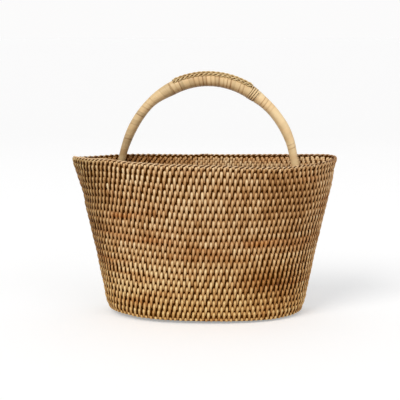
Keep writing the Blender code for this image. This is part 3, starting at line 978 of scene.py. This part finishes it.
# Near black, for the cores and the layers under the binding and lacing: painted shade in the hollows and
# gaps they show through
core_and_gap_shade = cane_material(
    "core_and_gap_shade",
    stops=[(0.0, (0.035, 0.010, 0.000)), (1.0, (0.095, 0.030, 0.001))],
    patch_tint=(0.6, 0.4, 0.2),
    patch_amount=2.0,
    fibre=0.4,
    roughness=0.7,
    coat=0.0,
    bump_depth=0.1 * MM,
    shine=0.0,
)
rim_cane = cane_material(
    "rim_cane",
    stops=[(0.0, (0.340, 0.175, 0.070)), (0.5, (0.640, 0.410, 0.210)), (1.0, (0.840, 0.620, 0.380))],
    patch_tint=(0.7, 0.5, 0.34),
    patch_amount=3.0,
    fibre=0.4,
    roughness=0.5,
    coat=0.08,
    bump_depth=0.1 * MM,
    edge_shade=0.0,
)
handle_cane = cane_material(
    "handle_cane",
    stops=[(0.0, (0.470, 0.328, 0.160)), (0.5, (0.770, 0.550, 0.285)), (1.0, (0.950, 0.720, 0.405))],
    patch_tint=(0.97, 0.80, 0.66),
    patch_amount=3.0,
    fibre=0.3,
    roughness=0.42,
    coat=0.15,
    bump_depth=0.05 * MM,
    edge_shade=0.15,
    deep_shade=0.8,
)
braid_cane = cane_material(
    "braid_cane",
    stops=[(0.0, (0.170, 0.095, 0.028)), (0.4, (0.590, 0.415, 0.180)), (1.0, (0.870, 0.690, 0.380))],
    patch_tint=(0.8, 0.6, 0.4),
    patch_amount=3.0,
    fibre=0.4,
    roughness=0.5,
    coat=0.08,
    bump_depth=0.06 * MM,
    edge_shade=0.3,
)


# Base, wall and rim


for node in dict.fromkeys(CHAIN_NODES):
    parts = []
    for index in (number for number, name in enumerate(CHAIN_NODES) if name == node):
        parts.append((0, core_ring(index)))
        if index:
            parts.append((1, stitch_row(index, True)))
            parts.append((1, stitch_row(index, False)))
            parts.append((1, stitch_row(index, False, 0.5)))
    if node == "rim_binding":
        parts += [(2, ply) for ply in rim_rope()]
    dress(f"{node}_woven", parts, [core_and_gap_shade, stitch_cane, rim_cane], node)


# Line of the handle


pole_low, pole_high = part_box("handle_pole")
span_half = (pole_high.x - pole_low.x) / 2 - POLE_RADIUS_AT_LEG
handle_x = (pole_high.x + pole_low.x) / 2
handle_y = (pole_low.y + pole_high.y) / 2
spring_z = RIM_TOP - ARCH_SPRING_BELOW_RIM
arch_rise = pole_high.z - POLE_RADIUS_AT_GRIP - spring_z


def arch_points():
    """The handle's middle line: two legs and half an ellipse, with the sways of the legs."""
    leg_z = np.linspace(pole_low.z, spring_z, LEG_SAMPLES)[:-1]
    angles = np.linspace(0, math.pi, ARCH_SAMPLES)
    x = np.concatenate([np.full(len(leg_z), -span_half), -np.cos(angles) * span_half])
    x = np.concatenate([x, np.full(len(leg_z), span_half)])
    z = np.concatenate([leg_z, spring_z + arch_rise * np.sin(angles), leg_z[::-1]])
    x += np.where(x < 0, np.interp(z, *zip(*LEFT_SWAY)), np.interp(z, *zip(*RIGHT_SWAY)))
    return np.column_stack([x + handle_x, np.full(len(x), handle_y), z])


arch = arch_points()
arch_lengths = run_length(arch)
arch_total = arch_lengths[-1]
grip_middle = arch_total / 2 + GRIP_SHIFT
grip_start = grip_middle - GRIP_LENGTH / 2
grip_end = grip_middle + GRIP_LENGTH / 2


def arch_at(length):
    return np.stack([np.interp(length, arch_lengths, arch[:, axis]) for axis in range(3)], -1)


def grip_share(length):
    """1 on the grip, and less down to 0 over the tapers beside it."""
    return 1 - eased_share(np.maximum(grip_start - length, length - grip_end), GRIP_TAPER_LENGTH)


def on_arch(length):
    """The handle's middle at a length along it, and the direction there."""
    point = arch_at(length)
    point[..., 2] -= GRIP_SAG * grip_share(length)
    return point, unit(arch_at(length + ARCH_STEP) - arch_at(length - ARCH_STEP))


def pole_radius(length):
    from_foot = np.minimum(length, arch_total - length)
    leg = eased_share(from_foot - LEG_TAPER_START, LEG_TAPER_LENGTH)
    radius = POLE_RADIUS_AT_LEG + (POLE_RADIUS_AT_SHOULDER - POLE_RADIUS_AT_LEG) * leg
    return radius + (POLE_RADIUS_AT_GRIP - POLE_RADIUS_AT_SHOULDER) * grip_share(length)


def fullness(length):
    """How far the wrapping stands over the pole: thin on the left leg, thick on the grip."""
    before = [grip_start - WRAP_SWELL_LENGTH, grip_start]
    after = [grip_end - WRAP_END_REACH, grip_end + WRAP_END_REACH]
    heights = [WRAP_OVER_LEFT_LEG, WRAP_OVER_GRIP, WRAP_OVER_GRIP, WRAP_OVER_RIGHT_LEG]
    return np.interp(length, before + after, heights)


def round_arch(length, angle, radius):
    """Points round the handle's line. Angle 0 is the outer side, and the front is a quarter turn on."""
    here, along = on_arch(length)
    outwards = np.stack([-along[..., 2], np.zeros(length.shape), along[..., 0]], -1)
    sideways = np.cross(along, outwards)
    out = outwards * np.cos(angle)[..., None] + sideways * np.sin(angle)[..., None]
    return here + out * radius[..., None], out


def cane_tone(length):
    """Duller on the left leg and the grip, brighter on the right leg."""
    before = [CANE_TONE_START, grip_start - CANE_TONE_BEFORE_GRIP, grip_start]
    after = [grip_end - CANE_TONE_END_REACH, grip_end + CANE_TONE_END_REACH, arch_total]
    return np.interp(length, before + after, CANE_TONES)


def underside_shade(out):
    """How much shade is painted on the cane where it faces down."""
    return UNDERSIDE_SHADE * np.clip(UNDERSIDE_START - out[..., 2], 0, 1) ** 1.5


# Pieces of the handle


def open_seams(length):
    """How far the seams stand open at a length along the handle."""
    places, openings = np.array(SEAMS).T
    away = np.asarray(length)[..., None] - arch_total / 2 - places * MM
    return np.clip((hump(away, 1, 0, SEAM_REACH) * openings).sum(-1), 0, 1)


def cane_width(length):
    width = CLOSED_TURN_WIDTH + (OPEN_TURN_WIDTH - CLOSED_TURN_WIDTH) * float(open_seams(length))
    return width * rng.uniform(*TURN_WIDTH_RANGE)


def sheath(start, end):
    """Flat cane wound so closely that it makes one skin, stepped where a seam stands open."""
    edges = [start]
    while edges[-1] < end:
        edges.append(edges[-1] + cane_width(edges[-1]))
    edges = start + (np.array(edges) - start) * (end - start) / (edges[-1] - start)
    turns = len(edges) - 1
    rings = int((end - start) / SHEATH_STEP) + 1
    shape = (rings, SHEATH_SIDES)
    angle = np.arange(SHEATH_SIDES) * FULL_TURN / SHEATH_SIDES + np.zeros(shape)
    length = np.linspace(start, end, rings)[:, None] + np.zeros(shape)
    turn = np.interp(length, edges, np.arange(turns + 1)) - angle / FULL_TURN
    part = turn - np.floor(turn)
    opening = open_seams(length)
    ledge = np.interp(part, LEDGE_PLACES, LEDGE_HEIGHTS) * opening
    radius = pole_radius(length) + fullness(length) + ledge
    radius[[0, -1]] = pole_radius(length[[0, -1]])
    points, out = round_arch(length, angle, radius)
    index = np.arange(rings * SHEATH_SIDES).reshape(shape)
    tones = np.clip(cane_tone(edges) + rng.normal(0, CANE_TONE_SPREAD, turns + 1), 0, 1)
    seam = np.minimum(part, 1 - part) * (end - start) / turns
    # Painted shade on the downward face and along the open seams
    shade = underside_shade(out) + SEAM_SHADE * opening * hump(seam, 1, 0, SEAM_LINE)
    values = {
        "tone": tones[np.clip(np.floor(turn).astype(int) + 1, 0, turns)].ravel(),
        "along": (turn * FULL_TURN * radius.mean()).ravel(),
        "across": ((2 * part - 1) * np.maximum(opening, LEAST_EDGE)).ravel(),
        "shade": np.clip(shade, 0, 1).ravel(),
    }
    return points.reshape(-1, 3), quads_between(index[:-1], index[1:]), values


def pole():
    """The bent pole inside the wrapping, closed at its feet but for a pinhole."""
    length = np.concatenate([[0], np.linspace(0, arch_total, POLE_SAMPLES), [arch_total]])
    centre, _ = on_arch(length)
    radii = pole_radius(length)
    radii[[0, -1]] = POLE_TIP_RADIUS
    centre[[0, -1], 2] -= POLE_TIP_DROP
    return tube(centre, radii, POLE_TONE + wave(length, *POLE_TONE_WAVE), POLE_SIDES, closed=False)


def lacing():
    """The plies of the two cords, and the near black cores behind them, painted shade between the plies."""
    begin = grip_start + LACE_FROM_GRIP_START
    finish = grip_end - LACE_FROM_GRIP_END
    knots = int((finish - begin) / LACE_PITCH)
    length = np.linspace(begin, finish, knots * LACE_SAMPLES + 1)
    surface = pole_radius(length) + fullness(length)
    taper = np.clip(np.minimum(length - begin, finish - length) / LACE_TAPER, LACE_TIP_SHARE, 1)
    parts = []
    for side, middle_angle in zip((1, -1), LACE_ANGLES):
        for ply in range(2):
            twist = side * math.pi * (length - begin) / LACE_PITCH + math.pi * ply
            lift = surface + LACE_LIFT + np.cos(twist) * LACE_LIFT_SWING
            centre, _ = round_arch(length, middle_angle + np.sin(twist) * LACE_SWING, lift)
            # Painted light where a ply comes up and painted shade where it dives
            tone = LACE_TONE + LACE_SHADE_SWING * np.cos(twist) + wave(length, *LACE_TONE_WAVE, ply)
            cord = tube(centre, LACE_RADIUS * taper, np.clip(tone, 0, 1), LACE_SIDES, closed=False)
            parts.append((0, cord))
        core, _ = round_arch(length, middle_angle + 0 * length, surface + LACE_CORE_LIFT)
        parts.append((1, tube(core, LACE_CORE_RADIUS * taper, LACE_CORE_TONE, LACE_SIDES, closed=False)))
    return parts


def end_turns(over, crown, width_share):
    """One strip wound round the right end of the grip, with gaps where its share is less than 1."""
    begin = grip_end - END_TURNS_START
    pitch = (END_TURNS_START - END_TURNS_END) / END_TURNS
    turn = np.linspace(0, END_TURNS, END_TURNS * END_TURN_SAMPLES + 1)
    length = begin + pitch * turn
    radius = pole_radius(length) + fullness(length) + over
    centre, out = round_arch(length, END_TURN_PHASE - FULL_TURN * turn, radius)
    half_width = np.full((1, len(turn)), pitch / 2 * width_share)
    tone = np.full((1, len(turn)), END_TURN_TONE)
    points, quads, values = strips(centre[None], out[None], half_width, crown, END_TURN_BACK, tone)
    values["shade"] = spread(underside_shade(out), (len(turn), len(STRIP_PLACES)))
    return points, quads, values


for name, start, end, node in (
    ("left_leg_cane", LEG_BARE_LENGTH, grip_start, "left_leg_wrap"),
    ("grip_cane", grip_start, grip_end, "grip_wrap"),
    ("right_leg_cane", grip_end, arch_total - LEG_BARE_LENGTH, "right_leg_wrap"),
):
    dress(name, [(0, sheath(start, end))], [handle_cane], node)

dress("bent_pole", [(0, pole())], [handle_cane], "handle_pole")
dress("grip_braid", lacing(), [braid_cane, core_and_gap_shade], "grip_lacing")
end_parts = [(0, end_turns(*END_CANE)), (1, end_turns(*END_SHADE_LAYER))]
dress("grip_end_turns", end_parts, [handle_cane, core_and_gap_shade], "grip_end_binding")

for side_name in ("left", "right"):
    for number in TIE_NUMBERS:
        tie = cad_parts[f"{side_name}_leg_tie_{number}"]
        tie.data.materials.clear()
        tie.data.materials.append(braid_cane)
        bevel = tie.modifiers.new("rounded_edges", "BEVEL")
        bevel.width = TIE_BEVEL
        bevel.segments = TIE_BEVEL_SEGMENTS


# Stage, lights and camera


def seen_directly(nodes, links):
    """1 for rays from the camera, from gloss and through glass, and 0 for those that light the object."""
    rays = nodes.new("ShaderNodeLightPath")
    seen = maths(nodes, links, "MAXIMUM", rays.outputs["Is Camera Ray"], rays.outputs["Is Glossy Ray"])
    return maths(nodes, links, "MAXIMUM", seen, rays.outputs["Is Transmission Ray"])


def floor_material():
    material, nodes, links, shader = node_material("pale_floor")
    shader.inputs["Base Color"].default_value = (*FLOOR_COLOUR, 1)
    shader.inputs["Roughness"].default_value = FLOOR_ROUGHNESS
    shader.inputs["Specular IOR Level"].default_value = FLOOR_SHINE
    seen = seen_directly(nodes, links)
    place = nodes.new("ShaderNodeSeparateXYZ")
    links.new(nodes.new("ShaderNodeTexCoord").outputs["Object"], place.inputs[0])
    far = nodes.new("ShaderNodeMapRange")
    for name, value in zip(("From Min", "From Max", "To Min", "To Max"), (*FLOOR_GLOW_PLACES, *FLOOR_GLOWS)):
        far.inputs[name].default_value = value
    links.new(place.outputs["Y"], far.inputs["Value"])
    glow = nodes.new("ShaderNodeEmission")
    glow.inputs["Color"].default_value = (*FLOOR_GLOW_COLOUR, 1)
    links.new(maths(nodes, links, "MULTIPLY", seen, far.outputs[0]), glow.inputs["Strength"])
    total = nodes.new("ShaderNodeAddShader")
    links.new(shader.outputs[0], total.inputs[0])
    links.new(glow.outputs[0], total.inputs[1])
    links.new(total.outputs[0], nodes["Material Output"].inputs["Surface"])
    return material


def build_world():
    """The light from all round, which is white where it is seen directly."""
    world = bpy.data.worlds.new("studio")
    bpy.context.scene.world = world
    world.use_nodes = True
    nodes = world.node_tree.nodes
    links = world.node_tree.links
    nodes["Background"].inputs["Color"].default_value = (*WORLD_COLOUR, 1)
    seen = seen_directly(nodes, links)
    strength = maths(nodes, links, "MULTIPLY_ADD", seen, 1 - WORLD_LIGHT, WORLD_LIGHT)
    links.new(strength, nodes["Background"].inputs["Strength"])


def sun_light(name, place, strength, spread_angle, colour):
    data = bpy.data.lights.new(name, "SUN")
    data.energy = strength
    data.angle = spread_angle
    data.color = colour
    lamp = bpy.data.objects.new(name, data)
    lamp.location = place
    lamp.rotation_euler = (-Vector(place)).to_track_quat("-Z", "Y").to_euler()
    bpy.context.scene.collection.objects.link(lamp)


def build_camera():
    data = bpy.data.cameras.new("photo_view")
    data.sensor_width = CAMERA_SENSOR
    data.lens = CAMERA_LENS
    camera = bpy.data.objects.new("photo_view", data)
    camera.location = CAMERA_PLACE
    turn = Matrix.Rotation(CAMERA_TURN, 3, "Z")
    tilt = Matrix.Rotation(math.pi / 2 - CAMERA_TILT, 3, "X")
    roll = Matrix.Rotation(-CAMERA_ROLL, 3, "Z")
    camera.rotation_euler = (turn @ tilt @ roll).to_euler()
    bpy.context.scene.collection.objects.link(camera)
    bpy.context.scene.camera = camera


floor_corners = np.array([(-1, -1, 0), (1, -1, 0), (1, 1, 0), (-1, 1, 0)]) * FLOOR_HALF
floor = new_object("pale_floor", floor_corners + [0, 0, FLOOR_Z], [(0, 1, 2, 3)], [floor_material()])
build_world()
sun_light("key", *KEY_LIGHT)
sun_light("fill", *FILL_LIGHT)
build_camera()
bpy.context.scene.view_settings.view_transform = "Standard"
